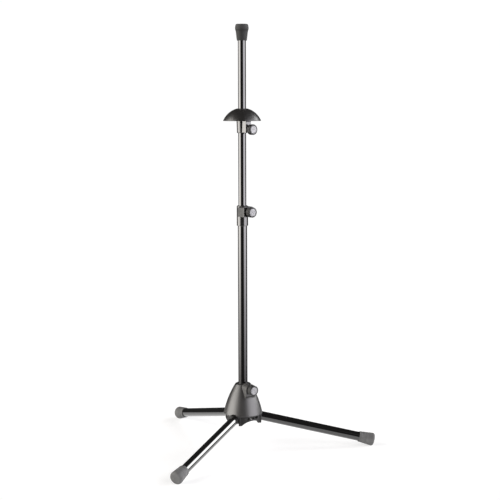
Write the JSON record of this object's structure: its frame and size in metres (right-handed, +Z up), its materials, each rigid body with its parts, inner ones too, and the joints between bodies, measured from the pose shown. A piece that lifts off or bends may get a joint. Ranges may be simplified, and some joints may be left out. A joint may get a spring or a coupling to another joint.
{
  "type": "trombone stand",
  "caption": "Folding tripod floor stand with a telescoping clamped post and a domed umbrella that carries the bell of a brass instrument.",
  "frame": {"origin": "middle of the box round the spread footprint, on the floor; the post axis stands 68.1 mm to the -X side of it, at y = 0", "axes": "+Z up along the post, +X from the post towards leg 1, +Y completes the right-handed set"},
  "size_m": [0.4479, 0.514, 0.9205],
  "materials": {
    "tube_enamel": "gloss black enamel on steel tube",
    "rod_enamel": "gloss black enamel on steel tube",
    "leg_enamel": "gloss black enamel on steel tube",
    "hub_plastic": "moulded, dark grey, fine matte texture",
    "lug_plastic": "moulded, satin black",
    "plug_plastic": "moulded, satin black",
    "bush_plastic": "smooth low-friction moulding, black",
    "collar_plastic": "moulded, gloss black",
    "sleeve_plastic": "moulded, gloss black",
    "umbrella_plastic": "moulded, satin black, slightly soft",
    "knob_plastic": "moulded, satin black, fluted rim",
    "foot_rubber": "matte grey-black rubber",
    "rod_cap_rubber": "matte grey-black rubber",
    "insert_brass": "turned",
    "pad_brass": "turned",
    "screw_steel": "zinc-plated",
    "pin_steel": "dark plated",
    "disc_silver": "satin silver disc, left blank"
  },
  "bodies": {
    "hub": {"hub_housing": "hub_plastic", "hub_insert": "insert_brass", "leg_1_pin": "pin_steel", "leg_2_pin": "pin_steel", "leg_3_pin": "pin_steel"},
    "leg_1": {"leg_1_lug": "lug_plastic", "leg_1_tube": "leg_enamel", "leg_1_foot_cap": "foot_rubber"},
    "leg_2": {"leg_2_lug": "lug_plastic", "leg_2_tube": "leg_enamel", "leg_2_foot_cap": "foot_rubber"},
    "leg_3": {"leg_3_lug": "lug_plastic", "leg_3_tube": "leg_enamel", "leg_3_foot_cap": "foot_rubber"},
    "hub_bush": {"hub_bush": "bush_plastic"},
    "post": {"post_tube": "tube_enamel", "post_end_plug": "plug_plastic", "clamp_collar": "collar_plastic", "collar_insert": "insert_brass"},
    "collar_bush": {"collar_bush": "bush_plastic"},
    "rod": {"rod_tube": "rod_enamel", "rod_guide": "plug_plastic", "rod_cap": "rod_cap_rubber"},
    "rest_bush": {"rest_bush": "bush_plastic"},
    "bell_rest": {"bell_umbrella": "umbrella_plastic", "rest_sleeve": "sleeve_plastic", "rest_insert": "insert_brass"},
    "hub_pad": {"hub_pad": "pad_brass"},
    "hub_knob": {"hub_screw": "screw_steel", "hub_knob": "knob_plastic", "hub_knob_disc": "disc_silver"},
    "collar_pad": {"collar_pad": "pad_brass"},
    "collar_knob": {"collar_screw": "screw_steel", "collar_knob": "knob_plastic", "collar_knob_disc": "disc_silver"},
    "rest_pad": {"rest_pad": "pad_brass"},
    "rest_knob": {"rest_screw": "screw_steel", "rest_knob": "knob_plastic", "rest_knob_disc": "disc_silver"}
  },
  "joints": [
    {"name": "leg_1_fold", "type": "hinge", "parent": "hub", "child": "leg_1", "pos_m": [-0.04012, 0, 0.0739], "axis": [0, 1, 0], "range_deg": [0, 76.8]},
    {"name": "leg_2_fold", "type": "hinge", "parent": "hub", "child": "leg_2", "pos_m": [-0.08212, 0.02425, 0.0739], "axis": [-0.866, -0.5, 0], "range_deg": [0, 76.8]},
    {"name": "leg_3_fold", "type": "hinge", "parent": "hub", "child": "leg_3", "pos_m": [-0.08212, -0.02425, 0.0739], "axis": [0.866, -0.5, 0], "range_deg": [0, 76.8]},
    {"name": "post_swivel", "type": "hinge", "parent": "hub", "child": "hub_bush", "pos_m": [-0.06812, 0, 0.1056], "axis": [0, 0, 1], "continuous": true},
    {"name": "post_drop", "type": "slide", "parent": "hub_bush", "child": "post", "axis": [0, 0, -1], "range_m": [0, 0.25]},
    {"name": "rod_swivel", "type": "hinge", "parent": "post", "child": "collar_bush", "pos_m": [-0.06812, 0, 0.522], "axis": [0, 0, 1], "continuous": true},
    {"name": "rod_drop", "type": "slide", "parent": "collar_bush", "child": "rod", "axis": [0, 0, -1], "range_m": [-0.05, 0.15]},
    {"name": "bell_rest_raise", "type": "slide", "parent": "rod", "child": "rest_bush", "axis": [0, 0, 1], "range_m": [-0.15, 0.14]},
    {"name": "bell_rest_swivel", "type": "hinge", "parent": "rest_bush", "child": "bell_rest", "pos_m": [-0.06812, 0, 0.7154], "axis": [0, 0, 1], "continuous": true},
    {"name": "hub_pad_feed", "type": "slide", "parent": "hub", "child": "hub_pad", "axis": [0.4695, -0.8829, 0], "range_m": [0, 0.00201]},
    {"name": "hub_knob_turn", "type": "hinge", "parent": "hub_pad", "child": "hub_knob", "pos_m": [-0.05404, -0.02649, 0.1371], "axis": [0.4695, -0.8829, 0], "range_deg": [0, 720]},
    {"name": "collar_pad_feed", "type": "slide", "parent": "post", "child": "collar_pad", "axis": [0.5299, -0.848, 0], "range_m": [0, 0.00201]},
    {"name": "collar_knob_turn", "type": "hinge", "parent": "collar_pad", "child": "collar_knob", "pos_m": [-0.05222, -0.02544, 0.5236], "axis": [0.5299, -0.848, 0], "range_deg": [0, 720]},
    {"name": "rest_pad_feed", "type": "slide", "parent": "bell_rest", "child": "rest_pad", "axis": [0.5878, -0.809, 0], "range_m": [0, 0.00201]},
    {"name": "rest_knob_turn", "type": "hinge", "parent": "rest_pad", "child": "rest_knob", "pos_m": [-0.05049, -0.02427, 0.6991], "axis": [0.5878, -0.809, 0], "range_deg": [0, 720]}
  ],
  "couplings": [
    {"joint": "hub_pad_feed", "follows": "hub_knob_turn", "m_per_rad": 0.00015915},
    {"joint": "collar_pad_feed", "follows": "collar_knob_turn", "m_per_rad": 0.00015915},
    {"joint": "rest_pad_feed", "follows": "rest_knob_turn", "m_per_rad": 0.00015915}
  ]
}
